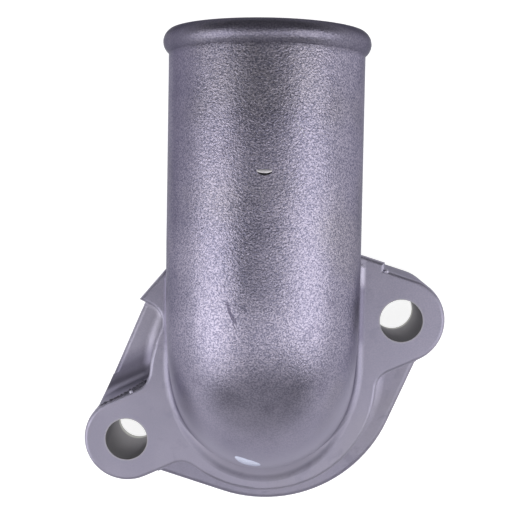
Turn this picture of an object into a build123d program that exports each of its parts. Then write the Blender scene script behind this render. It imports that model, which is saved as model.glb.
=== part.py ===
from build123d import *
import math
import os

# A cast aluminium thermostat housing. A two-bolt flange carries an elbow that
# turns the coolant from the engine's port into a hose neck parallel to the face.
# The origin is the centre of the mating face, in the plane of that face.
# +Z points away from the engine, and +Y points along the neck to its mouth.
# All sizes are in millimetres and degrees.

# Flange
bolt_spacing = 64.0
bolt_line_angle = 25.0
bolt_hole_diameter = 9.0
ear_radius = 9.15
base_radius = 30.6
base_thickness = 4.5
lip_radius = 1.1

# Raised deck, with the shoulder behind the elbow
deck_height = 17.0
deck_step = 6.4
deck_edge_radius = 0.8
arm_blend_radius = 4.0
cove_radius = 3.2
shoulder_rise = 0.4
shoulder_flat_angle = 139.8
shoulder_tip_angle = 147.4
shoulder_side_angle = -26.0

# Land that carries the deck's edge outwards on the right of the neck
land_reach = 5.85
land_width = 1.6
land_drop = 7.0

# Elbow and hose neck, outside
neck_axis_height = 25.0
bend_radius = 21.0
elbow_radius = 19.4
elbow_setback = 2.0
neck_draft = 0.23
neck_length = 71.0
bead_width = 4.2
bead_height = 1.1
foot_fillet_radius = 2.0
apron_radius = 5.0
apron_tuck = 0.2
apron_sink = 0.03

# Passage inside
wall_thickness = 3.0
port_radius = 21.0
port_depth = 13.0
port_chamfer = 3.0
mouth_wall = 2.57
mouth_chamfer = 0.5

# Places and lengths that follow from the sizes above
bolt_reach = bolt_spacing / 2
deck_radius = base_radius - deck_step
bend_start_y = bend_radius - elbow_setback
bend_centre_z = neck_axis_height - bend_radius
neck_end_radius = elbow_radius - neck_draft
bead_start_y = neck_length - bead_width
bore_radius = elbow_radius - wall_thickness
bore_mouth_radius = neck_end_radius - mouth_wall
deck_flat_radius = deck_radius - deck_edge_radius
foot_fillet = min(foot_fillet_radius, (deck_flat_radius - elbow_radius) / 2)
flank_angle = bolt_line_angle + math.degrees(math.acos((base_radius - ear_radius) / bolt_reach))
overrun = bolt_reach + neck_length
tolerance = 0.01
neck_axis = Axis((0, 0, neck_axis_height), (0, 1, 0))
bend_hinge = Axis((0, bend_start_y, bend_centre_z), (1, 0, 0))
neck_plane = Plane((0, 0, neck_axis_height), x_dir=(0, 1, 0), z_dir=(-1, 0, 0))


def polar(radius, angle):
    """The point at a radius and an angle about the origin."""
    return Vector(radius * math.cos(math.radians(angle)), radius * math.sin(math.radians(angle)))


right_ear = polar(bolt_reach, bolt_line_angle)
left_ear = -right_ear
shoulder_tip = polar(
    (base_radius + shoulder_rise) / math.cos(math.radians(shoulder_tip_angle - shoulder_flat_angle)),
    shoulder_tip_angle,
)


def shoulder_foot():
    """Where the lower side of the shoulder's tip meets the edge of the deck."""
    run = polar(1.0, shoulder_side_angle)
    nearest = shoulder_tip - run * shoulder_tip.dot(run)
    return nearest - run * math.sqrt(deck_radius**2 - nearest.length**2)


def flange_outline():
    """A disc and two ears, joined by straight flanks that are tangent to both."""
    other_flank_angle = 2 * bolt_line_angle - flank_angle
    angles = [flank_angle, 180 + other_flank_angle, 180 + flank_angle, other_flank_angle]
    rim = [polar(base_radius, angle) for angle in angles]
    ears = [
        centre + polar(ear_radius, angle)
        for centre, angle in zip((right_ear, left_ear, left_ear, right_ear), angles)
    ]
    upper = polar(base_radius, bolt_line_angle + 90)
    outer = polar(bolt_reach + ear_radius, bolt_line_angle)
    return make_face(
        [
            Line(ears[0], rim[0]),
            ThreePointArc(rim[0], upper, rim[1]),
            Line(rim[1], ears[1]),
            ThreePointArc(ears[1], -outer, ears[2]),
            Line(ears[2], rim[2]),
            ThreePointArc(rim[2], -upper, rim[3]),
            Line(rim[3], ears[3]),
            ThreePointArc(ears[3], outer, ears[0]),
        ]
    )


def shoulder_tip_outline():
    """The flat-sided tip that stands out past the disc on the left of the neck."""
    run = polar(1.0, shoulder_flat_angle - 90)
    end = shoulder_tip + run * (foot_fillet - elbow_radius - shoulder_tip.X) / run.X
    end_angle = math.degrees(math.atan2(end.Y, end.X))
    tangent = polar(base_radius, end_angle - math.degrees(math.acos(base_radius / end.length)))
    return make_face(Polyline(Vector(0, 0), shoulder_foot(), shoulder_tip, end, tangent, close=True))


def deck_outline():
    """All that stands at the full height: the disc, both arms and the unbounded shoulder."""
    foot = shoulder_foot()
    shoulder = make_face(
        Polyline(
            foot,
            foot + (shoulder_tip - foot) * base_radius,
            Vector(-overrun, overrun),
            Vector(overrun, overrun),
            Vector(overrun, right_ear.Y),
            right_ear,
            Vector(0, 0),
            close=True,
        )
    )
    outline = Circle(deck_radius) + shoulder
    for ear in (right_ear, left_ear):
        outline += Pos(ear) * Circle(ear_radius)
        outline += Location(ear / 2, (0, 0, bolt_line_angle)) * Rectangle(bolt_reach, 2 * ear_radius)
    inner_corners = [
        corner
        for corner in outline.vertices()
        if abs(Vector(corner.X, corner.Y).length - deck_radius) < tolerance
    ]
    return fillet(inner_corners, arm_blend_radius)


def recesses(space):
    """What is cut away beside the deck, with a cove where its walls meet the floor."""
    cutter = Pos(0, 0, base_thickness) * extrude(space, deck_height)
    floor_edges = [
        edge
        for edge in cutter.edges().group_by(Axis.Z)[0]
        if abs(edge.center().X) < overrun and abs(edge.center().Y) < overrun
    ]
    return fillet(floor_edges, cove_radius)


def lip_rounding(space):
    """What is cut away to round the top edge of the base where the floor reaches it."""
    plate = extrude(flange_outline(), base_thickness)
    rounded = fillet(plate.edges().group_by(Axis.Z)[-1], lip_radius)
    level_floor = extrude(offset(space, -cove_radius), base_thickness)
    return (plate - rounded) & level_floor


def land():
    """The overhanging edge on the right of the neck, which tapers back into the wall below."""
    outward = polar(1.0, flank_angle)
    along = polar(1.0, flank_angle - 90)
    profile = make_face(
        Polyline(
            (-land_width, deck_height),
            (land_width, deck_height),
            (0, deck_height - land_drop),
            (-land_width, deck_height - land_drop),
            close=True,
        )
    )
    bar = extrude(Plane(outward * base_radius, x_dir=outward, z_dir=along) * profile, overrun)
    bar &= Pos(land_reach + elbow_radius / 2) * Box(elbow_radius, 2 * overrun, 2 * overrun)
    open_edges = [
        edge
        for edge in bar.edges().group_by(Axis.Z)[-1]
        if edge.center().dot(outward) > base_radius + tolerance
        or edge.center().X > elbow_radius + land_reach - tolerance
    ]
    return fillet(open_edges, deck_edge_radius)


def flange():
    """Flange at full height, with recesses down to the thin base at its flanks."""
    space = Rectangle(2 * overrun, 2 * overrun) - deck_outline()
    body = extrude(flange_outline() + shoulder_tip_outline(), deck_height)
    body -= recesses(space)
    body = fillet(body.edges().group_by(Axis.Z)[-1], deck_edge_radius)
    return body - lip_rounding(space)


def bend(radius, turn_radius):
    """A round bend from upright to level, with its leg down to the mating face."""
    reach = radius + turn_radius
    section = Circle(radius) & Pos(0, turn_radius - reach / 2) * Rectangle(2 * radius, reach)
    leg = Pos(0, bend_start_y - turn_radius) * extrude(Circle(radius), bend_centre_z)
    return leg + revolve(Pos(0, bend_start_y - turn_radius, bend_centre_z) * section, bend_hinge, -90)


def cheeks(half_width, turn_radius):
    """Upright walls from the centre line of a bend and of its neck down to the mating face."""
    foot_y = bend_start_y - turn_radius
    top = bend_centre_z + turn_radius
    side = make_face(
        [
            Line((foot_y, 0), (foot_y, bend_centre_z)),
            RadiusArc((foot_y, bend_centre_z), (bend_start_y, top), turn_radius),
            Line((bend_start_y, top), (overrun, top)),
            Line((overrun, top), (overrun, 0)),
            Line((overrun, 0), (foot_y, 0)),
        ]
    )
    return extrude(Plane.YZ * side, half_width, both=True)


def web():
    """Upright walls that carry the elbow and neck down to the flange."""
    column = extrude(flange_outline() + shoulder_tip_outline(), neck_axis_height)
    return cheeks(elbow_radius, bend_radius) & column


def foot_edges(body, half_width, height):
    """The straight edges where the cheeks meet a level top; the rest of the foot runs on from them."""
    return [
        edge
        for edge in body.edges().filter_by_position(Axis.Z, height, height)
        if edge.geom_type == GeomType.LINE and abs(abs(edge.center().X) - half_width) < tolerance
    ]


def apron():
    """A wider fillet that runs the front of the elbow out onto the deck, on a core just inside both."""
    outer_radius = bend_radius + elbow_radius - apron_sink
    top = deck_height - apron_sink
    lean = math.asin((top - bend_centre_z) / outer_radius)
    room = deck_flat_radius + bend_start_y - outer_radius * math.cos(lean)
    radius = min(apron_radius, room / math.tan((math.pi / 2 - lean) / 2))
    core_radius = elbow_radius + foot_fillet - radius - apron_tuck
    core_turn = outer_radius - core_radius
    core = extrude(Rectangle(2 * overrun, 2 * overrun), top)
    core += bend(core_radius, core_turn) + cheeks(core_radius, core_turn)
    core = fillet(foot_edges(core, core_radius, top), radius)
    front = Circle(deck_flat_radius) & Pos(0, -overrun) * Rectangle(2 * overrun, 2 * overrun)
    return core & Pos(0, 0, base_thickness) * extrude(front, overrun)


def neck():
    """Hose neck with its draft and the rounded bead at the mouth."""
    crest = (neck_length - bead_width / 2, neck_end_radius + bead_height)
    profile = make_face(
        [
            Line((bend_start_y, 0), (bend_start_y, elbow_radius)),
            Line((bend_start_y, elbow_radius), (base_radius, elbow_radius)),
            Line((base_radius, elbow_radius), (bead_start_y, neck_end_radius)),
            ThreePointArc((bead_start_y, neck_end_radius), crest, (neck_length, neck_end_radius)),
            Line((neck_length, neck_end_radius), (neck_length, 0)),
            Line((neck_length, 0), (bend_start_y, 0)),
        ]
    )
    return revolve(neck_plane * profile, neck_axis)


def passage():
    """Port, bend and neck bore as one space."""
    port = extrude(Circle(port_radius), port_depth)
    space = chamfer(port.edges().group_by(Axis.Z)[-1], port_chamfer) + bend(bore_radius, bend_radius)
    profile = make_face(
        Polyline(
            (bend_start_y, 0),
            (bend_start_y, bore_radius),
            (neck_length - mouth_chamfer, bore_mouth_radius),
            (neck_length, bore_mouth_radius + mouth_chamfer),
            (neck_length, 0),
            close=True,
        )
    )
    return space + revolve(neck_plane * profile, neck_axis)


def housing():
    """The whole casting, with its bolt holes."""
    body = flange() + bend(elbow_radius, bend_radius) + web() + neck()
    body = fillet(foot_edges(body, elbow_radius, deck_height), foot_fillet)
    body = body + land() + apron() - passage()
    for ear in (right_ear, left_ear):
        body -= Pos(ear) * Cylinder(bolt_hole_diameter / 2, 2 * overrun)
    return body


if __name__ == "__main__":
    os.makedirs("parts", exist_ok=True)
    export_step(housing(), "parts/housing.step")
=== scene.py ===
import logging
import math
from dataclasses import dataclass
from enum import Enum
from functools import reduce
from typing import Optional, Sequence, Union

import bmesh
import bpy
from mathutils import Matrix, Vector, geometry, noise
from mathutils.bvhtree import BVHTree


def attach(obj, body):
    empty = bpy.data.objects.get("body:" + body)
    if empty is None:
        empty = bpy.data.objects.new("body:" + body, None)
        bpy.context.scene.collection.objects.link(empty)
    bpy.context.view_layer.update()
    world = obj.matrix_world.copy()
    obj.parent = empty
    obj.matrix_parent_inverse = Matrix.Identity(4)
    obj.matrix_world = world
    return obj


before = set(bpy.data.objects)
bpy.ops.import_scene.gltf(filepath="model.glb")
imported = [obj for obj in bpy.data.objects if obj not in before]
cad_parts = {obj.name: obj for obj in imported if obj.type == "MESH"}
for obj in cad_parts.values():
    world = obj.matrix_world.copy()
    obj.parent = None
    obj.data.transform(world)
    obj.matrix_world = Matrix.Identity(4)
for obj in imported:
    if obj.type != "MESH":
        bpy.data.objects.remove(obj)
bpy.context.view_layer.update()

logging.basicConfig(level=logging.INFO, format="%(name)s: %(message)s")
log = logging.getLogger("thermostat_housing")

MM = 0.001
UP = Vector((0.0, 0.0, 1.0))
RIGHT = Vector((1.0, 0.0, 0.0))
WHITE = (1.0, 1.0, 1.0)
Colour = tuple[float, float, float]
Span = tuple[float, float]
Socket = bpy.types.NodeSocket
Value = Union[float, int, Sequence[float], Socket]


def mm(*lengths: float) -> tuple[float, ...]:
    """Turns lengths in millimetres into metres."""
    return tuple(length * MM for length in lengths)


class Blend(Enum):
    """How one colour is laid over another."""

    MIX = "MIX"
    MULTIPLY = "MULTIPLY"


class Rule(Enum):
    """How a Math node works its values out."""

    PLUS = "ADD"
    MINUS = "SUBTRACT"
    TIMES = "MULTIPLY"
    MOST = "MAXIMUM"
    POWER = "POWER"
    ROOT = "SQRT"
    SIZE = "ABSOLUTE"


class Along(Enum):
    """The directions in which a place on the casting is measured.

    ARM runs from the origin across the left arm and on into the recess behind it.
    """

    X = (1.0, 0.0, 0.0)
    Y = (0.0, 1.0, 0.0)
    Z = (0.0, 0.0, 1.0)
    ARM = (-0.442, 0.897, 0.0)


@dataclass(frozen=True)
class Fade:
    """A soft change of level from low to high along one direction, in metres."""

    along: Along
    low: float
    high: float
    start: float
    end: float

    @classmethod
    def rise(
        cls, along: Along, low: float, high: float, start: float = 0.0, end: float = 1.0
    ) -> "Fade":
        """Makes a fade that comes in between two lengths in millimetres."""
        return cls(along, low * MM, high * MM, start, end)

    @classmethod
    def fall(cls, along: Along, low: float, high: float, start: float = 1.0) -> "Fade":
        """Makes a fade that goes out between two lengths in millimetres."""
        return cls(along, low * MM, high * MM, start, 0.0)


@dataclass(frozen=True)
class Pattern:
    """A noise in the metal's skin.

    Its lumps lie about size metres apart. detail is how many finer layers it has, worms
    how far its lumps are drawn out, and stretch how much tighter it is along each axis.
    low and high are the levels between which it comes in where it is used as a mask.
    """

    size: float
    detail: float
    worms: float = 0.0
    stretch: tuple[float, float, float] = (1.0, 1.0, 1.0)
    low: float = 0.3
    high: float = 0.7


class Shader:
    """A node material that is written step by step."""

    def __init__(self, name: str) -> None:
        """Starts an empty material.

        Args:
            name: The material's name.
        """
        self.material = bpy.data.materials.new(name)
        self.material.use_nodes = True
        self.tree = self.material.node_tree
        self.tree.nodes.clear()
        self.place = self.add("ShaderNodeTexCoord").outputs["Object"]

    def add(self, kind: str, **settings: object) -> bpy.types.Node:
        """Adds a node.

        Args:
            kind: The node's type.
            settings: Properties to set on it.

        Returns:
            The new node.
        """
        node = self.tree.nodes.new(kind)
        for name, value in settings.items():
            setattr(node, name, value)
        return node

    def feed(self, socket: Socket, value: Value) -> None:
        """Sets a socket to a plain value, or links it to another socket.

        Args:
            socket: The input that is fed.
            value: A number, a vector, a colour or an output socket.
        """
        if isinstance(value, Socket):
            self.tree.links.new(value, socket)
        elif socket.type == "RGBA":
            socket.default_value = (*value, 1.0)
        else:
            socket.default_value = value

    def work(self, rule: Rule, *values: Value) -> Socket:
        """Adds a Math node.

        Args:
            rule: How it works the values out.
            values: One or two values, as the rule needs.

        Returns:
            The result.
        """
        node = self.add("ShaderNodeMath", operation=rule.value)
        for socket, value in zip(node.inputs, values):
            self.feed(socket, value)
        return node.outputs["Value"]

    def plus(self, first: Value, second: Value) -> Socket:
        """Adds one value to another."""
        return self.work(Rule.PLUS, first, second)

    def minus(self, first: Value, second: Value) -> Socket:
        """Takes the second value from the first."""
        return self.work(Rule.MINUS, first, second)

    def size(self, value: Value) -> Socket:
        """Drops a value's sign."""
        return self.work(Rule.SIZE, value)

    def times(self, *values: Value) -> Value:
        """Multiplies any number of values, from left to right."""
        return reduce(lambda first, second: self.work(Rule.TIMES, first, second), values)

    def most(self, *values: Value) -> Value:
        """Takes the largest of any number of values."""
        return reduce(lambda first, second: self.work(Rule.MOST, first, second), values)

    def ramp(
        self, value: Value, low: float, high: float, start: float = 0.0, end: float = 1.0
    ) -> Socket:
        """Turns a value smoothly from one level to another.

        Args:
            value: What is read.
            low: Where the change begins.
            high: Where the change ends.
            start: The level at and before low.
            end: The level at and after high.

        Returns:
            The level.
        """
        node = self.add("ShaderNodeMapRange", interpolation_type="SMOOTHSTEP")
        for socket, item in zip(node.inputs, (value, low, high, start, end)):
            self.feed(socket, item)
        return node.outputs["Result"]

    def noise(self, pattern: Pattern) -> Socket:
        """Adds a noise pattern.

        Args:
            pattern: The pattern's sizes.

        Returns:
            The noise, from 0 to 1.
        """
        mapping = self.add("ShaderNodeMapping")
        self.feed(mapping.inputs["Vector"], self.place)
        self.feed(mapping.inputs["Scale"], pattern.stretch)
        node = self.add("ShaderNodeTexNoise")
        self.feed(node.inputs["Vector"], mapping.outputs["Vector"])
        self.feed(node.inputs["Scale"], 1.0 / pattern.size)
        self.feed(node.inputs["Detail"], pattern.detail)
        self.feed(node.inputs["Distortion"], pattern.worms)
        return node.outputs["Fac"]

    def blots(self, pattern: Pattern) -> Socket:
        """Masks the lumps of a noise pattern."""
        return self.ramp(self.noise(pattern), pattern.low, pattern.high)

    def rings(self, pitch: float, wander: float = 0.6, waver: float = 0.3) -> Socket:
        """Adds the rings that a lathe tool leaves round the Z axis.

        Args:
            pitch: How far apart the rings are, in metres.
            wander: How far they stray from a true circle.
            waver: How fine their straying is.

        Returns:
            The pattern, from 0 to 1.
        """
        node = self.add("ShaderNodeTexWave", wave_type="RINGS", rings_direction="Z")
        self.feed(node.inputs["Vector"], self.place)
        self.feed(node.inputs["Scale"], math.tau / (20.0 * pitch))
        self.feed(node.inputs["Distortion"], wander)
        self.feed(node.inputs["Detail Scale"], waver)
        return node.outputs["Fac"]

    def axes(self) -> tuple[Socket, Socket, Socket]:
        """Splits the place on the object into its three lengths.

        Returns:
            X, Y and Z, in metres.
        """
        node = self.add("ShaderNodeSeparateXYZ")
        self.feed(node.inputs["Vector"], self.place)
        return node.outputs["X"], node.outputs["Y"], node.outputs["Z"]

    def measure(self, along: Along) -> Socket:
        """Measures the place on the object along a direction.

        Args:
            along: The direction.

        Returns:
            The length, in metres.
        """
        node = self.add("ShaderNodeVectorMath", operation="DOT_PRODUCT")
        self.feed(node.inputs[0], self.place)
        self.feed(node.inputs[1], along.value)
        return node.outputs["Value"]

    def mask(self, *fades: Fade, level: Value = 1.0) -> Value:
        """Masks the places where all of the fades are in.

        Args:
            fades: The fades, which are multiplied with each other.
            level: What the mask is multiplied by.

        Returns:
            The mask.
        """
        read = [self.ramp(self.measure(f.along), f.low, f.high, f.start, f.end) for f in fades]
        return self.times(level, *read)

    def reach(self, across: Value, along: Value, centre: Span = (0.0, 0.0)) -> Socket:
        """Measures how far a place lies from an axis.

        Args:
            across: The first length.
            along: The second length.
            centre: Where the axis stands.

        Returns:
            The distance, in metres.
        """
        first = self.work(Rule.POWER, self.minus(across, centre[0]), 2.0)
        second = self.work(Rule.POWER, self.minus(along, centre[1]), 2.0)
        return self.work(Rule.ROOT, self.plus(first, second))

    def mix(
        self, factor: Value, under: Value, over: Value, blend: Blend = Blend.MIX, label: str = ""
    ) -> Socket:
        """Lays one colour over another.

        Args:
            factor: How much of the upper colour shows.
            under: The lower colour.
            over: The upper colour.
            blend: How they are combined.
            label: What the node is called in the editor.

        Returns:
            The combined colour.
        """
        node = self.add("ShaderNodeMix", data_type="RGBA", blend_type=blend.value, label=label)
        self.feed(node.inputs["Factor"], factor)
        self.feed(node.inputs["A"], under)
        self.feed(node.inputs["B"], over)
        return node.outputs["Result"]

    def bump(
        self, height: Value, depth: float, strength: Value, normal: Optional[Value] = None
    ) -> Socket:
        """Turns a height pattern into a relief.

        Args:
            height: The pattern, from 0 to 1.
            depth: How deep it is, in metres.
            strength: How much of it shows.
            normal: A relief that lies under this one.

        Returns:
            The changed normal.
        """
        node = self.add("ShaderNodeBump")
        self.feed(node.inputs["Height"], height)
        self.feed(node.inputs["Distance"], depth)
        self.feed(node.inputs["Strength"], strength)
        if normal is not None:
            self.feed(node.inputs["Normal"], normal)
        return node.outputs["Normal"]

    def finish(self, shader: Socket) -> bpy.types.Material:
        """Ends the material.

        Args:
            shader: The shader that it shows.

        Returns:
            The material.
        """
        output = self.add("ShaderNodeOutputMaterial")
        self.feed(output.inputs["Surface"], shader)
        return self.material

    def metal(
        self, colour: Value, roughness: Value, normal: Value, edge: Colour = WHITE
    ) -> bpy.types.Material:
        """Ends the material as bare metal.

        Args:
            colour: Its colour.
            roughness: How dull it is.
            normal: Its relief.
            edge: The tint that it takes on where it is seen at a grazing angle.

        Returns:
            The material.
        """
        node = self.add("ShaderNodeBsdfPrincipled")
        self.feed(node.inputs["Base Color"], colour)
        self.feed(node.inputs["Metallic"], 1.0)
        self.feed(node.inputs["Roughness"], roughness)
        self.feed(node.inputs["Specular Tint"], edge)
        self.feed(node.inputs["Normal"], normal)
        return self.finish(node.outputs["BSDF"])


@dataclass(frozen=True)
class Tint:
    """A place on the casting that is paler or darker than the rest."""

    label: str
    colour: Colour
    amount: float
    fades: tuple[Fade, ...]

    def lay(self, s: Shader, under: Value) -> Socket:
        """Lays the tint over a colour."""
        return s.mix(s.mask(*self.fades, level=self.amount), under, self.colour, label=self.label)


@dataclass(frozen=True)
class Scratch:
    """A thin straight mark on top of the neck and dome, as seen from above.

    start, end and width are in millimetres. The mark wavers by stray times its width,
    is full within core times its width, and thins out over tail times its width.
    """

    start: Span
    end: Span
    width: float
    colour: Colour
    amount: float
    wave: Pattern = Pattern(3 * MM, 2.0)
    stray: float = 2.4
    core: float = 0.25
    tail: float = 2.0
    top: Fade = Fade.rise(Along.Z, 30, 34)

    def mask(self, s: Shader) -> Value:
        """Masks the mark.

        Args:
            s: The material that is written.

        Returns:
            1 on the mark and 0 off it.
        """
        x, y, _ = s.axes()
        start, end, width = mm(*self.start), mm(*self.end), self.width * MM
        run = Vector((end[0] - start[0], end[1] - start[1]))
        unit, half = run.normalized(), run.length / 2
        dx, dy = s.minus(x, start[0]), s.minus(y, start[1])
        along = s.plus(s.times(dx, unit.x), s.times(dy, unit.y))
        aside = s.minus(s.times(dx, unit.y), s.times(dy, unit.x))
        wander = s.times(s.minus(s.noise(self.wave), 0.5), self.stray * width)
        line = s.ramp(s.size(s.plus(aside, wander)), self.core * width, width, 1.0, 0.0)
        inside = s.ramp(s.size(s.minus(along, half)), half - self.tail * width, half, 1.0, 0.0)
        return s.mask(self.top, level=s.times(line, inside))

    def lay(self, s: Shader, under: Value) -> Socket:
        """Lays the mark over a colour."""
        return s.mix(s.times(self.mask(s), self.amount), under, self.colour)


@dataclass(frozen=True)
class Masks:
    """Where the casting isn't plain blasted metal, each as a level from 0 to 1.

    grain says how strongly the blasted grain shows. foot is the dome's foot, which is
    painted paler as painted light, inside the water passage, holes the walls of the bolt
    holes, and cut the faces that a tool has turned.
    """

    grain: Value
    foot: Value
    inside: Value
    holes: Value
    cut: Value


@dataclass(frozen=True)
class CastAluminium:
    """Shot-blasted cast aluminium, with drilled holes and machined faces."""

    light: Colour = (0.272, 0.257, 0.330)
    dark: Colour = (0.222, 0.211, 0.276)
    warm: Colour = (0.252, 0.239, 0.278)
    rim: Colour = (0.36, 0.345, 0.42)
    # painted light: the paler colour laid on the deck's flat, the dome's foot, the left recess
    # beyond the ear and the pale right fillet
    painted_light: Colour = (0.41, 0.39, 0.48)
    # painted shade darkening the bead near the mouth
    bead: Colour = (0.110, 0.104, 0.138)
    # painted shade inside the water passage and the thermostat's seat
    inner: Colour = (0.16, 0.155, 0.18)
    drilled: Colour = (0.345, 0.335, 0.345)
    # the pale lip round the tops of the bolt holes, and a painted reflection low in them
    drilled_lip: Colour = (0.60, 0.60, 0.565)
    machined: Colour = (0.42, 0.41, 0.45)
    # the dark colour of the stains and the dark scratches, and also the painted shade on the
    # fillets beside the neck, in the left recess and on the neck's left flank
    soot_and_shade: Colour = (0.105, 0.095, 0.145)
    # painted shade round the mouth of the neck
    mouth_shade: Colour = (0.062, 0.058, 0.074)
    speck_dark: Colour = (0.63, 0.64, 0.70)
    speck_light: Colour = (1.38, 1.34, 1.31)
    edge_tint: Colour = (0.42, 0.42, 0.46)

    grain: Pattern = Pattern(0.36 * MM, 1.0, 0.7)
    grain_depth: float = 0.070 * MM
    grain_fades: tuple[Fade, ...] = (
        Fade.rise(Along.Z, 17, 37, 0.22),
        Fade.rise(Along.Y, -6, 14, 0.30),
    )
    pits: Pattern = Pattern(1.5 * MM, 3.0, 0.4)
    pit_depth: float = 0.05 * MM
    pit_strength: float = 0.5
    specks: Pattern = Pattern(0.31 * MM, 1.0, 0.3, low=0.33, high=0.67)
    mottle: Pattern = Pattern(10 * MM, 3.0, low=0.33, high=0.67)
    patches: Pattern = Pattern(26 * MM, 2.0, low=0.5, high=0.66)
    patch_amount: float = 0.55
    stains: Pattern = Pattern(4.5 * MM, 4.0, 0.8, low=0.58, high=0.72)
    stain_amount: float = 0.22

    sheen: Pattern = Pattern(10 * MM, 3.0)
    smoothest: float = 0.33
    roughest: float = 0.40
    cut_polish: float = 0.08
    hollow_haze: float = 0.12
    low_haze: Fade = Fade.fall(Along.Z, 17, 30, 0.11)
    foot_haze: float = 0.15

    # painted light: the dome's foot is made paler where it shows brighter reflections
    foot_amount: float = 0.85
    foot_sides: Fade = Fade.rise(Along.Z, 17.7, 19.2)
    foot_front: tuple[Fade, ...] = (
        Fade.rise(Along.Z, 17.15, 17.7),
        Fade.fall(Along.Y, -14, -6),
    )
    foot_ends: tuple[Fade, ...] = (Fade.fall(Along.Z, 24, 34), Fade.fall(Along.Y, 12, 20))

    ring_pitch: float = 0.35 * MM
    ring_depth: float = 0.012 * MM
    ring_strength: float = 0.6
    ring_amount: float = 0.35
    base_face: Fade = Fade.fall(Along.Z, 0.02, 0.06)
    seat: Fade = Fade.fall(Along.Z, 12.8, 13.2)
    # painted shade darkening the outside of the neck towards its mouth
    mouth: Fade = Fade.rise(Along.Y, 70.94, 70.98)
    mouth_shade_amount: float = 0.8
    mouth_shade_stray: float = 0.8 * MM
    mouth_shade_low: float = 69.3 * MM
    mouth_shade_high: float = 70.9 * MM

    hole_radius: float = 4.6 * MM
    hole_edge: float = 0.06 * MM
    hole_centres: tuple[Span, ...] = (mm(29.00, 13.52), mm(-29.00, -13.52))
    lip_width: float = 0.25 * MM
    lip_amount: float = 0.1
    deck_lip: Fade = Fade.rise(Along.Z, 15.8, 16.6)
    # painted reflection: a pale band low in the bolt holes
    base_lip: Fade = Fade.fall(Along.Z, 1.4, 1.9)

    neck_axis_height: float = 25.0 * MM
    bend_radius: float = 21.0 * MM
    bend_start: float = 19.0 * MM
    inside_radius: float = 16.9 * MM
    inside_edge: float = 0.25 * MM
    port_radius: float = 21.3 * MM
    port_depth: float = 13.2 * MM

    def deck_tints(self) -> tuple[Tint, ...]:
        """Lists the tints of the deck.

        Returns:
            The worn edge, and the painted light on the flat.
        """
        edge = (Fade.rise(Along.Z, 16.1, 16.5), Fade.fall(Along.Z, 16.86, 16.97))
        # painted light: the deck's flat is made paler
        flat = (Fade.rise(Along.Z, 16.90, 16.98), Fade.fall(Along.Z, 17.02, 17.15))
        return Tint("worn edge", self.rim, 0.45, edge), Tint("deck", self.painted_light, 0.22, flat)

    def neck_tints(self) -> tuple[Tint, ...]:
        """Lists the tints beside the neck and along it.

        Returns:
            Painted shade and painted light on the fillets beside the neck, in the left recess and
            on the neck's left flank, and painted shade on the bead.
        """
        right = (
            Fade.rise(Along.X, 19.6, 20.2),
            Fade.fall(Along.X, 20.9, 21.5),
            Fade.rise(Along.Z, 16.9, 17.0),
            Fade.fall(Along.Z, 19.0, 19.6),
        )
        right_dark = (*right, Fade.rise(Along.Y, 7.0, 10.0), Fade.fall(Along.Y, 19.5, 21.5))
        right_pale = (*right, Fade.rise(Along.Y, 20.0, 23.0))
        recess = (Fade.fall(Along.X, -19.0, -17.0), Fade.fall(Along.Z, 14.0, 16.0))
        near_ear = (*recess, Fade.rise(Along.ARM, 10.2, 11.0), Fade.fall(Along.ARM, 13.4, 15.4))
        beyond = (*recess, Fade.rise(Along.ARM, 14.9, 16.9))
        left_dark = (
            Fade.rise(Along.X, -21.5, -20.9),
            Fade.fall(Along.X, -20.2, -19.6),
            Fade.fall(Along.Z, 19.0, 19.6),
            Fade.rise(Along.Y, 3.0, 11.0),
        )
        flank = (
            Fade.rise(Along.X, -18.3, -16.8),
            Fade.fall(Along.X, -14.5, -10.0),
            Fade.rise(Along.Y, 10, 60, 0.08, 0.55),
            Fade.rise(Along.Z, 24, 28),
        )
        return (
            # Each tint below is painted shade or painted light on the place its label names.
            Tint("dark right fillet", self.soot_and_shade, 0.6, right_dark),
            Tint("left recess near the ear", self.soot_and_shade, 0.45, near_ear),
            Tint("left recess beyond", self.painted_light, 0.4, beyond),
            Tint("dark left fillet", self.soot_and_shade, 0.55, left_dark),
            Tint("pale right fillet", self.painted_light, 0.8, right_pale),
            Tint("left flank of the neck", self.soot_and_shade, 1.0, flank),
            Tint("bead", self.bead, 0.62, (Fade.rise(Along.Y, 65.8, 67.0),)),
        )

    def scratches(self) -> tuple[Scratch, ...]:
        """Lists the marks on top of the neck and dome.

        Returns:
            Two dark scratches and two bright scores.
        """
        return (
            Scratch((-6.56, 21.02), (-4.10, 16.41), 0.42, self.soot_and_shade, 0.85),
            Scratch((-5.60, 19.00), (-4.40, 15.60), 0.16, self.soot_and_shade, 0.85),
            Scratch((-0.40, 41.80), (0.30, 36.50), 0.14, self.machined, 0.4),
            Scratch((5.10, 55.00), (7.60, 50.20), 0.12, self.machined, 0.4),
        )

    def holes(self, s: Shader, margin: float = 0.0) -> Value:
        """Masks the walls of the bolt holes.

        Args:
            s: The material that is written.
            margin: How far the mask reaches past the wall, in metres.

        Returns:
            1 on the walls and 0 elsewhere.
        """
        x, y, _ = s.axes()
        edge = self.hole_radius + margin
        reaches = [s.reach(x, y, centre) for centre in self.hole_centres]
        return s.most(*(s.ramp(reach, edge - self.hole_edge, edge, 1.0, 0.0) for reach in reaches))

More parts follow.
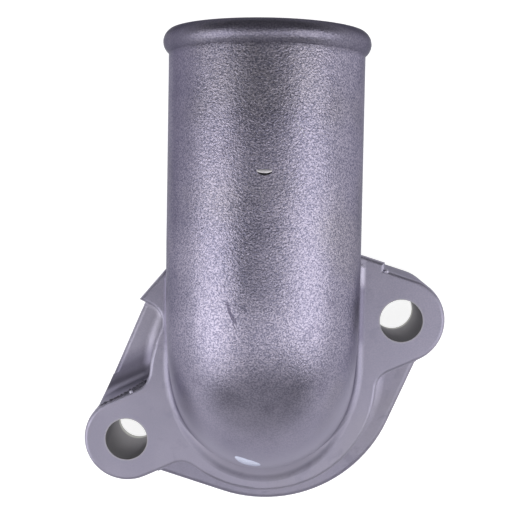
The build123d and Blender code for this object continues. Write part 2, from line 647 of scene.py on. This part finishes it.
    def inside(self, s: Shader) -> Value:
        """Masks the water passage and the thermostat's seat.

        Args:
            s: The material that is written.

        Returns:
            1 on the inner walls and 0 elsewhere.
        """
        x, y, z = s.axes()
        soft, radius, start = self.inside_edge, self.inside_radius, self.bend_start
        bore = s.reach(x, z, (0.0, self.neck_axis_height))
        bore = s.ramp(bore, radius - soft, radius, 1.0, 0.0)
        bore = s.times(bore, s.ramp(y, start - soft, start))
        turn = s.reach(y, z, (start, self.neck_axis_height - self.bend_radius))
        bend = s.reach(x, turn, (0.0, self.bend_radius))
        bend = s.ramp(bend, radius - soft, radius, 1.0, 0.0)
        bend = s.times(bend, s.ramp(y, start, start + soft, 1.0, 0.0))
        port = s.ramp(s.reach(x, y), self.port_radius - soft, self.port_radius, 1.0, 0.0)
        port = s.times(port, s.ramp(z, self.port_depth, self.port_depth + soft, 1.0, 0.0))
        return s.most(bore, bend, port)

    def masks(self, s: Shader) -> Masks:
        """Writes the masks that the colour, the roughness and the relief share.

        Args:
            s: The material that is written.

        Returns:
            The masks.
        """
        foot = s.most(s.mask(self.foot_sides), s.mask(*self.foot_front))
        inside = self.inside(s)
        cut = s.most(s.mask(self.base_face), s.mask(self.seat, level=inside), s.mask(self.mouth))
        return Masks(
            grain=s.mask(*self.grain_fades),
            foot=s.mask(*self.foot_ends, level=foot),
            inside=inside,
            holes=self.holes(s),
            cut=cut,
        )

    def blasted_colour(self, s: Shader, masks: Masks) -> Socket:
        """Colours the blasted skin: mottled, patchy, stained and speckled.

        Args:
            s: The material that is written.
            masks: The shared masks.

        Returns:
            The colour.
        """
        colour = s.mix(s.blots(self.mottle), self.dark, self.light)
        colour = s.mix(s.times(s.blots(self.patches), self.patch_amount), colour, self.warm)
        colour = s.mix(s.times(s.blots(self.stains), self.stain_amount), colour, self.soot_and_shade)
        speckled = s.mix(s.blots(self.specks), self.speck_dark, self.speck_light)
        speckled = s.mix(1.0, colour, speckled, Blend.MULTIPLY)
        return s.mix(masks.grain, colour, speckled)

    def wear_and_painted_light(self, s: Shader, colour: Value, masks: Masks) -> Value:
        """Adds the worn deck edge, and the painted light and painted shade on the deck, the dome's
        foot and the neck.

        Args:
            s: The material that is written.
            colour: The colour under them.
            masks: The shared masks.

        Returns:
            The colour.
        """
        for tint in self.deck_tints():
            colour = tint.lay(s, colour)
        # painted light on the dome's foot
        colour = s.mix(s.times(masks.foot, self.foot_amount), colour, self.painted_light)
        for tint in self.neck_tints():
            colour = tint.lay(s, colour)
        return colour

    def cut_colour(self, s: Shader, colour: Value, rings: Value, masks: Masks) -> Socket:
        """Adds the painted shade round the mouth and in the passage, the bolt holes with a painted
        reflection low in them, and the turned faces.

        Args:
            s: The material that is written.
            colour: The colour under them.
            rings: The rings that turning left.
            masks: The shared masks.

        Returns:
            The colour.
        """
        # painted shade round the mouth, with a ragged edge
        ragged = s.times(s.noise(self.mottle), self.mouth_shade_stray)
        mouth_shade_mask = s.plus(s.measure(Along.Y), ragged)
        mouth_shade_mask = s.ramp(mouth_shade_mask, self.mouth_shade_low, self.mouth_shade_high)
        colour = s.mix(s.times(mouth_shade_mask, self.mouth_shade_amount), colour, self.mouth_shade)
        # painted shade inside the passage
        colour = s.mix(masks.inside, colour, self.inner)
        lips = s.mask(self.deck_lip, level=self.holes(s, self.lip_width))
        colour = s.mix(s.times(lips, self.lip_amount), colour, self.drilled_lip)
        colour = s.mix(masks.holes, colour, self.drilled)
        # painted reflection low in the bolt holes
        colour = s.mix(s.mask(self.base_lip, level=masks.holes), colour, self.drilled_lip)
        colour = s.mix(masks.cut, colour, self.machined)
        return s.mix(s.times(rings, self.ring_amount, masks.cut), colour, self.light)

    def dullness(self, s: Shader, masks: Masks) -> Socket:
        """Makes the turned faces smoother and the hollows, the foot and the flange duller.

        Args:
            s: The material that is written.
            masks: The shared masks.

        Returns:
            The roughness.
        """
        sheen = self.sheen
        rough = s.ramp(s.noise(sheen), sheen.low, sheen.high, self.smoothest, self.roughest)
        rough = s.minus(rough, s.times(masks.cut, self.cut_polish))
        rough = s.plus(rough, s.times(s.most(masks.inside, masks.holes), self.hollow_haze))
        rough = s.plus(rough, s.mask(self.low_haze))
        return s.plus(rough, s.times(masks.foot, self.foot_haze))

    def relief(self, s: Shader, rings: Value, masks: Masks) -> Socket:
        """Sinks the pits, the blasted grain and the turned rings into the surface.

        Args:
            s: The material that is written.
            rings: The rings that turning left.
            masks: The shared masks.

        Returns:
            The normal.
        """
        blasted = s.times(masks.grain, s.minus(1.0, s.most(masks.cut, masks.holes)))
        relief = s.bump(s.noise(self.pits), self.pit_depth, self.pit_strength)
        relief = s.bump(s.noise(self.grain), self.grain_depth, blasted, relief)
        return s.bump(rings, self.ring_depth, s.times(masks.cut, self.ring_strength), relief)

    def material(self) -> bpy.types.Material:
        """Builds the finish.

        Returns:
            The material.
        """
        s = Shader("cast_aluminium")
        masks = self.masks(s)
        rings = s.rings(self.ring_pitch)
        colour = self.blasted_colour(s, masks)
        colour = self.wear_and_painted_light(s, colour, masks)
        colour = self.cut_colour(s, colour, rings, masks)
        for scratch in self.scratches():
            colour = scratch.lay(s, colour)
        return s.metal(
            colour, self.dullness(s, masks), self.relief(s, rings, masks), self.edge_tint
        )


@dataclass(frozen=True)
class StreakedMetal:
    """Aluminium of one colour with fine streaks. It is worn metal on the spot on the dome, painted
    shadow on the nick's dark lump, and partly painted light on the nick's lip, the burrs and the
    flash.
    """

    name: str
    colour: Colour
    streak: Colour
    smoothest: float
    spread: float = 0.08
    streaks: Pattern = Pattern(0.5 * MM, 3.0, 0.3, (1.0, 3.0, 3.0))
    streak_low: float = 0.4
    streak_high: float = 0.62
    streak_depth: float = 0.01 * MM
    streak_strength: float = 0.6

    def material(self) -> bpy.types.Material:
        """Builds the finish.

        Returns:
            The material.
        """
        s = Shader(self.name)
        streaks = s.noise(self.streaks)
        bright = s.ramp(streaks, self.streak_low, self.streak_high)
        span = (self.streaks.low, self.streaks.high)
        rough = s.ramp(streaks, *span, self.smoothest, self.smoothest + self.spread)
        relief = s.bump(streaks, self.streak_depth, self.streak_strength)
        return s.metal(s.mix(bright, self.colour, self.streak), rough, relief)


@dataclass
class Housing:
    """The casting, which model.glb brings in whole."""

    finish: bpy.types.Material

    def dress(self) -> bpy.types.Object:
        """Gives the casting its finish.

        Returns:
            The casting.
        """
        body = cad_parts["housing"]
        body.data.materials.clear()
        body.data.materials.append(self.finish)
        return body

    def skin(self) -> BVHTree:
        """Reads the casting's surface, so that small pieces can be set on it.

        Returns:
            The surface, ready for rays.
        """
        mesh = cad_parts["housing"].data
        points = [vert.co.copy() for vert in mesh.vertices]
        return BVHTree.FromPolygons(points, [tuple(face.vertices) for face in mesh.polygons])


@dataclass
class SurfaceMark:
    """A small flat lump that lies on the casting's skin and follows it.

    The lump is a flattened ball. It is bent into a crescent where bow isn't 0, tapered
    along its length, roughened with seeded noise, and each of its points is dropped on
    the skin from drop above it, unless follows is off.
    """

    name: str
    finish: bpy.types.Material
    centre: Vector
    length: float
    width: float
    rise: float
    along: Vector = RIGHT
    outward: Vector = UP
    bow: float = 0.0
    taper: float = 0.0
    ragged: float = 0.0
    follows: bool = True
    segments: tuple[int, int] = (48, 16)
    grit: float = 900.0
    seed: Vector = Vector((7.0, 3.0, 1.0))
    drop: float = 6.0 * MM

    def shape(self) -> bmesh.types.BMesh:
        """Builds the lump about the origin, with its length on X and its rise on Z.

        Returns:
            The lump.
        """
        lump = bmesh.new()
        around, down = self.segments
        bmesh.ops.create_uvsphere(lump, u_segments=around, v_segments=down, radius=0.5)
        size = Vector((self.length, self.width, 2.0 * self.rise))
        bmesh.ops.scale(lump, vec=size, verts=lump.verts)
        for vert in lump.verts:
            place = 2.0 * vert.co.x / self.length
            rough = self.ragged * noise.noise(vert.co * self.grit + self.seed)
            vert.co.y *= 1.0 + self.taper * place + rough
            vert.co.z *= 1.0 + rough
            vert.co.y += self.bow * place * place
        return lump

    def build(self, skin: BVHTree) -> bpy.types.Object:
        """Builds the lump where it lies.

        Args:
            skin: The casting's surface.

        Returns:
            The piece.
        """
        outward = self.outward.normalized()
        along = (self.along - outward * self.along.dot(outward)).normalized()
        across = outward.cross(along)
        lump = self.shape()
        for vert in lump.verts:
            flat = self.centre + along * vert.co.x + across * vert.co.y
            hit = skin.ray_cast(flat + outward * self.drop, -outward)[0]
            under = hit if hit is not None and self.follows else flat
            vert.co = under + outward * vert.co.z
        bmesh.ops.recalc_face_normals(lump, faces=lump.faces)
        return place_piece(self.name, lump, self.finish)


@dataclass(frozen=True)
class Ripple:
    """How a size wavers along a line, by seeded noise."""

    amount: float
    pitch: float
    seed: Span

    def at(self, place: float) -> float:
        """Reads the ripple at a place from 0 to 1 along the line."""
        return self.amount * noise.noise(Vector((place * self.pitch, *self.seed)))


@dataclass
class Flash:
    """The ragged line of metal that the mould's parting left along the left arm.

    It is a bar with rounded edges, laid along a curve. Its thickness and its course
    ripple, and it thins to least at both ends, over tail of its length.
    """

    finish: bpy.types.Material
    path: tuple[Vector, Vector, Vector, Vector] = (
        Vector((-35.00, -6.75, 16.45)) * MM,
        Vector((-31.4, -4.95, 16.60)) * MM,
        Vector((-26.6, -2.60, 16.60)) * MM,
        Vector((-24.85, -0.65, 16.30)) * MM,
    )
    width: float = 0.95 * MM
    height: float = 0.60 * MM
    cuts: int = 90
    rounding: float = 0.22
    rounding_steps: int = 3
    thickness: float = 0.88
    coarse: Ripple = Ripple(0.32, 19.0, (2.0, 5.0))
    fine: Ripple = Ripple(0.22, 47.0, (9.0, 1.0))
    stray: Ripple = Ripple(0.22, 31.0, (4.0, 8.0))
    tail: float = 0.07
    least: float = 0.2

    def bar(self) -> bmesh.types.BMesh:
        """Builds the straight bar, one metre long on X.

        Returns:
            The bar.
        """
        bar = bmesh.new()
        bmesh.ops.create_cube(bar, size=1.0)
        edges = edges_on_x(bar)
        bmesh.ops.subdivide_edges(bar, edges=edges, cuts=self.cuts, use_grid_fill=True)
        bmesh.ops.bevel(
            bar, geom=edges_on_x(bar), offset=self.rounding, segments=self.rounding_steps,
            affect="EDGES", profile=0.5, material=-1, clamp_overlap=True,
        )
        return bar

    def build(self) -> bpy.types.Object:
        """Bends the bar along its path and makes it ragged.

        Returns:
            The piece.
        """
        bar = self.bar()
        last = self.cuts + 1
        line = geometry.interpolate_bezier(*self.path, last + 1)
        for vert in bar.verts:
            place = vert.co.x + 0.5
            step = round(place * last)
            unit = (line[min(last, step + 1)] - line[max(0, step - 1)]).normalized()
            aside = UP.cross(unit).normalized()
            up = unit.cross(aside)
            fade = min(1.0, place / self.tail, (1.0 - place) / self.tail)
            size = self.thickness + self.coarse.at(place) + self.fine.at(place)
            size *= max(self.least, fade)
            across = aside * (vert.co.y * size + self.stray.at(place) * fade) * self.width
            vert.co = line[step] + across + up * vert.co.z * size * self.height
        bmesh.ops.recalc_face_normals(bar, faces=bar.faces)
        return place_piece("parting_flash", bar, self.finish)


def edges_on_x(shape: bmesh.types.BMesh, least: float = 1e-6) -> list[bmesh.types.BMEdge]:
    """Lists the edges of a square shape that run along X."""
    return [e for e in shape.edges if abs((e.verts[0].co - e.verts[1].co).x) > least]


def place_piece(
    name: str, shape: bmesh.types.BMesh, finish: bpy.types.Material
) -> bpy.types.Object:
    """Turns a finished shape into a piece of the casting.

    Args:
        name: The piece's name.
        shape: The shape, already in its place.
        finish: The material.

    Returns:
        The piece.
    """
    mesh = bpy.data.meshes.new(name)
    shape.to_mesh(mesh)
    shape.free()
    for face in mesh.polygons:
        face.use_smooth = True
    mesh.materials.append(finish)
    piece = bpy.data.objects.new(name, mesh)
    bpy.context.scene.collection.objects.link(piece)
    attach(piece, "root")
    return piece


@dataclass
class Softbox:
    """A rectangular lamp that is turned towards the object.

    Its angles are in degrees and its lengths in metres. radiance is how bright its
    face is.
    """

    name: str
    azimuth: float
    elevation: float
    distance: float
    width: float
    height: float
    radiance: float

    def hang(self, target: Vector) -> bpy.types.Object:
        """Hangs the lamp.

        Args:
            target: The point that it is turned towards.

        Returns:
            The lamp.
        """
        data = bpy.data.lights.new(self.name, "AREA")
        data.shape = "RECTANGLE"
        data.size = self.width
        data.size_y = self.height
        data.energy = math.pi * self.width * self.height * self.radiance
        lamp = bpy.data.objects.new(self.name, data)
        turn, rise = math.radians(self.azimuth), math.radians(self.elevation)
        level = math.cos(rise)
        away = Vector((math.sin(turn) * level, -math.cos(turn) * level, math.sin(rise)))
        lamp.location = target + away * self.distance
        lamp.rotation_euler = (-away).to_track_quat("-Z", "Y").to_euler()
        bpy.context.scene.collection.objects.link(lamp)
        return lamp


@dataclass
class Studio:
    """The white floor, the soft lamps and the camera."""

    floor_half: float = 20.0
    floor_colour: Colour = (0.4, 0.4, 0.4)
    floor_glow: float = 0.87
    world: float = 0.16
    haze: float = 0.9
    haze_rise: Span = (0.04, 0.16)
    camera_place: Vector = Vector((4.351, 44.426, 201.809)) * MM
    camera_turn: tuple[float, float, float] = (-0.1000, 0.0303, 0.0177)
    lens: float = 61.36
    sensor: float = 36.0
    nearest: float = 0.01
    target: Vector = Vector((0.0, 25.0, 20.0)) * MM
    lamps: tuple[Softbox, ...] = (
        Softbox("left_softbox", 290.0, 32.0, 0.6, 0.50, 0.54, 2.85),
        Softbox("right_softbox", 77.0, 35.0, 0.6, 0.50, 0.52, 2.65),
        Softbox("top_softbox", 16.0, 68.0, 0.6, 0.50, 0.28, 1.9),
        Softbox("front_softbox", 0.0, 28.0, 0.6, 0.60, 0.34, 0.43),
        Softbox("rear_softbox", 180.0, 34.0, 0.6, 0.60, 0.30, 0.22),
    )

    def floor_finish(self) -> bpy.types.Material:
        """Builds the floor's finish, which glows white to the camera and in reflections.

        Returns:
            The material.
        """
        s = Shader("white_floor")
        paper = s.add("ShaderNodeBsdfDiffuse")
        s.feed(paper.inputs["Color"], self.floor_colour)
        path = s.add("ShaderNodeLightPath").outputs
        seen = s.most(path["Is Camera Ray"], path["Is Glossy Ray"], path["Is Transmission Ray"])
        glow = s.add("ShaderNodeEmission")
        s.feed(glow.inputs["Color"], WHITE)
        s.feed(glow.inputs["Strength"], s.times(seen, self.floor_glow))
        both = s.add("ShaderNodeAddShader")
        s.feed(both.inputs[0], paper.outputs["BSDF"])
        s.feed(both.inputs[1], glow.outputs["Emission"])
        return s.finish(both.outputs["Shader"])

    def floor(self) -> bpy.types.Object:
        """Lays the white floor under the mating face.

        Returns:
            The floor.
        """
        shape = bmesh.new()
        bmesh.ops.create_grid(shape, x_segments=1, y_segments=1, size=self.floor_half)
        mesh = bpy.data.meshes.new("floor")
        shape.to_mesh(mesh)
        shape.free()
        floor = bpy.data.objects.new("floor", mesh)
        bpy.context.scene.collection.objects.link(floor)
        mesh.materials.append(self.floor_finish())
        return floor

    def air(self) -> None:
        """Sets the even light all round, which is pale just above the horizon."""
        world = bpy.data.worlds.new("studio")
        world.use_nodes = True
        nodes, links = world.node_tree.nodes, world.node_tree.links
        split = nodes.new("ShaderNodeSeparateXYZ")
        links.new(nodes.new("ShaderNodeTexCoord").outputs["Generated"], split.inputs["Vector"])
        fade = nodes.new("ShaderNodeMapRange")
        fade.interpolation_type = "SMOOTHSTEP"
        for socket, value in zip(fade.inputs[1:5], (*self.haze_rise, self.haze, self.world)):
            socket.default_value = value
        links.new(split.outputs["Z"], fade.inputs["Value"])
        links.new(fade.outputs["Result"], nodes["Background"].inputs["Strength"])
        nodes["Background"].inputs["Color"].default_value = (*WHITE, 1.0)
        bpy.context.scene.world = world

    def camera(self) -> bpy.types.Object:
        """Sets the camera up as the photograph was taken.

        Returns:
            The camera.
        """
        data = bpy.data.cameras.new("camera")
        data.lens = self.lens
        data.sensor_width = self.sensor
        data.clip_start = self.nearest
        camera = bpy.data.objects.new("camera", data)
        camera.location = self.camera_place
        camera.rotation_euler = self.camera_turn
        bpy.context.scene.collection.objects.link(camera)
        bpy.context.scene.camera = camera
        return camera

    def build(self) -> None:
        """Builds the whole studio."""
        self.floor()
        self.air()
        self.camera()
        for lamp in self.lamps:
            lamp.hang(self.target)
        bpy.context.scene.view_settings.view_transform = "Standard"


def marks() -> list[SurfaceMark]:
    """Lists the small marks that wear and casting left on the skin.

    The nick and the spot on the dome are wear, and the two burrs are the mould's. The nick's dark
    lump is a painted shadow, and the pale colours of the nick's lip and of the burrs also paint
    their glints.

    Returns:
        The marks.
    """
    bright = StreakedMetal("rubbed_bright", (0.52, 0.55, 0.70), (0.46, 0.48, 0.62), 0.34)
    # painted shadow: a near-black finish for the lump that darkens the nick
    nick_shade = StreakedMetal("nick_shadow_finish", (0.022, 0.020, 0.024), (0.045, 0.042, 0.05), 0.5)
    # the nick's torn lip; its pale colour also paints the glint on it
    torn = StreakedMetal("torn_lip", (0.64, 0.62, 0.65), (0.54, 0.52, 0.55), 0.42)
    # the burrs are real; their pale colour paints the glint that their faces catch
    worn = StreakedMetal("burr_painted_glint", (0.45, 0.43, 0.53), (0.36, 0.345, 0.42), 0.45)
    burr = worn.material()
    return [
        SurfaceMark(
            "rubbed_spot", bright.material(), Vector((-2.6, -15.0, 25.3)) * MM,
            *mm(7.0, 4.0, 0.10), along=Vector((4.8, -3.7, -5.0)),
            outward=Vector((-0.12, -0.80, 0.58)), taper=0.18, ragged=0.08,
        ),
        SurfaceMark(
            "nick_lip", torn.material(), Vector((0.35, 44.30, 44.25)) * MM,
            *mm(2.8, 0.74, 0.07), bow=0.16 * MM, ragged=0.12,
        ),
        # a near-black lump standing in for the shadow in the nick
        SurfaceMark(
            "nick_painted_shadow", nick_shade.material(), Vector((0.38, 43.80, 44.25)) * MM,
            *mm(2.7, 0.46, 0.08), bow=0.38 * MM, ragged=0.12,
        ),
        SurfaceMark(
            "burr_right", burr, Vector((25.45, 23.85, 16.88)) * MM,
            *mm(1.15, 0.95, 0.22), along=Vector((1.0, -0.36, 0.0)), ragged=0.2, follows=False,
        ),
        SurfaceMark(
            "burr_left", burr, Vector((-27.95, -3.20, 16.85)) * MM,
            *mm(1.0, 0.75, 0.20), along=Vector((0.3, 1.0, 0.0)), ragged=0.3, follows=False,
        ),
    ]


def main() -> None:
    """Builds the scene piece by piece."""
    Studio().build()
    housing = Housing(CastAluminium().material())
    log.info("%s dressed", housing.dress().name)
    skin = housing.skin()
    for mark in marks():
        log.info("%s placed", mark.build(skin).name)
    # the flash is real; its near-black finish paints the shade along the arm's edge
    torn = StreakedMetal("flash_painted_shade", (0.052, 0.049, 0.065), (0.095, 0.09, 0.118), 0.5)
    log.info("%s placed", Flash(torn.material()).build().name)


if __name__ == "__main__":
    main()
